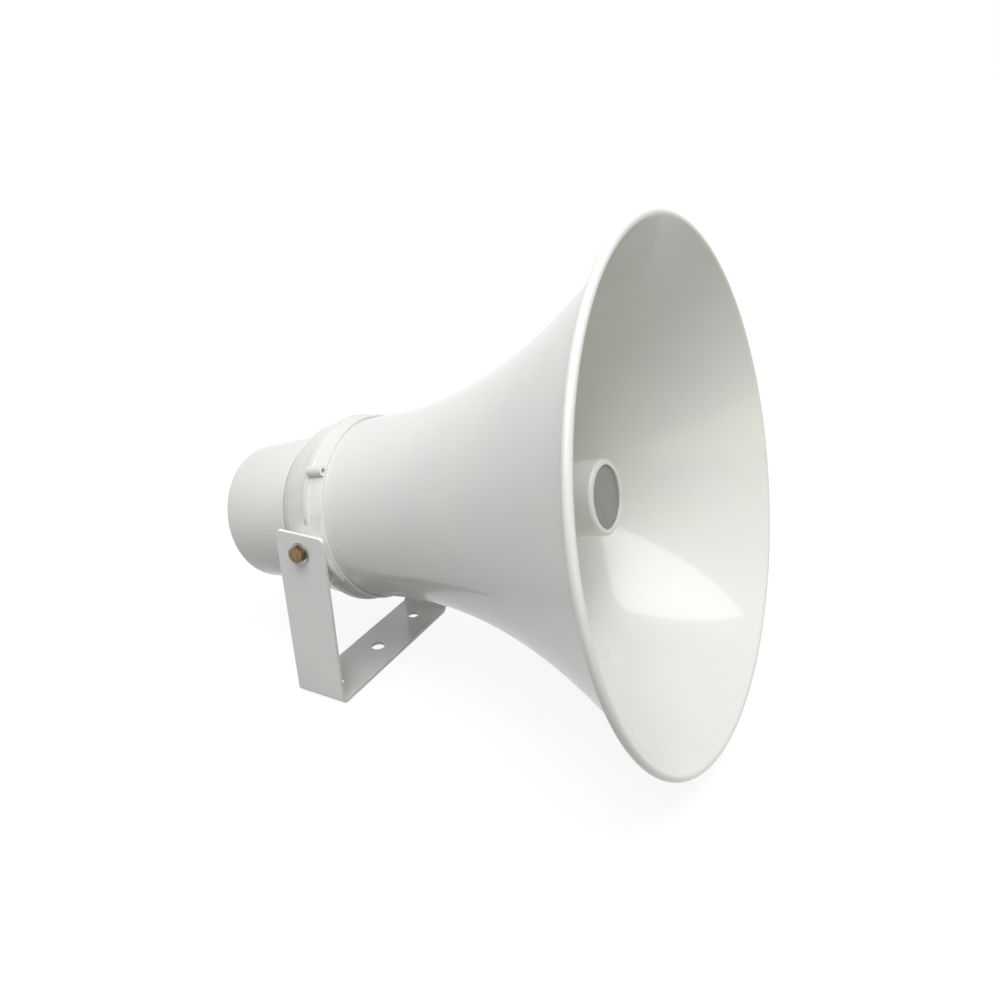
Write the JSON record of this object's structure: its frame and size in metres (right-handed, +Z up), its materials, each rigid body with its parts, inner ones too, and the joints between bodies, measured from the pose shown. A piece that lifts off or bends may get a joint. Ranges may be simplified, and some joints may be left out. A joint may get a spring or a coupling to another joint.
{
  "type": "pa horn speaker",
  "caption": "Public-address horn speaker: white flared bell with rolled rim, folded inner horn, cast base, rear cover and a tilting U bracket.",
  "frame": {"origin": "middle of the underside of the bracket base", "axes": "+Z up from the base to the pivot, the horn mouth towards -Y, X along the tilt pivot"},
  "size_m": [0.4, 0.4645, 0.4121],
  "materials": {
    "bell_paint": "gloss",
    "casting_paint": "gloss",
    "cast_alloy": "satin",
    "bracket_paint": "gloss",
    "disc_metal": "satin",
    "seal_rubber": "matte",
    "pale_rubber": "matte",
    "screw_steel": "satin",
    "plated_steel": "satin",
    "core_steel": "matte",
    "ferrite": "matte",
    "black_plastic": "matte",
    "dome_film": "satin",
    "copper_wire": "satin",
    "winding_tape": "satin",
    "strip_plastic": "matte",
    "gland_plastic": "satin",
    "zinc_yellow": "satin"
  },
  "bodies": {
    "bracket": {"u_bracket": "bracket_paint"},
    "horn": {"base_casting": "casting_paint", "bell": "bell_paint", "bell_screws": "screw_steel", "bell_seal": "pale_rubber", "boss_disc": "disc_metal", "clamp_ring": "cast_alloy", "cover_posts": "screw_steel", "cover_screws": "screw_steel", "cover_seal": "pale_rubber", "cup_screws": "screw_steel", "cup_stays": "screw_steel", "driver_plate": "cast_alloy", "driver_screws": "screw_steel", "driver_seal": "seal_rubber", "gland_body": "gland_plastic", "gland_cap": "gland_plastic", "gland_nut": "gland_plastic", "gland_seal": "seal_rubber", "holder_screws": "screw_steel", "magnet": "ferrite", "motor_screws": "screw_steel", "phase_plug": "black_plastic", "pivot_bolts": "zinc_yellow", "pivot_washers": "screw_steel", "rear_cover": "casting_paint", "reflector_cup": "bell_paint", "surround": "dome_film", "terminal_strip": "strip_plastic", "throat_tube": "bell_paint", "top_plate": "plated_steel", "transformer_core": "core_steel", "transformer_holder": "plated_steel", "transformer_winding": "winding_tape", "yoke": "plated_steel"},
    "diaphragm_unit": {"diaphragm": "dome_film", "voice_coil": "copper_wire"}
  },
  "joints": [
    {"name": "tilt", "type": "hinge", "parent": "bracket", "child": "horn", "pos_m": [0, 0, 0.1466], "axis": [-1, 0, 0], "range_deg": [-52, 78]},
    {"name": "diaphragm_travel", "type": "slide", "parent": "horn", "child": "diaphragm_unit", "axis": [0, -0.9765, 0.2156], "range_m": [-0.0003, 0.0003], "stiffness_N_per_m": 1000}
  ]
}
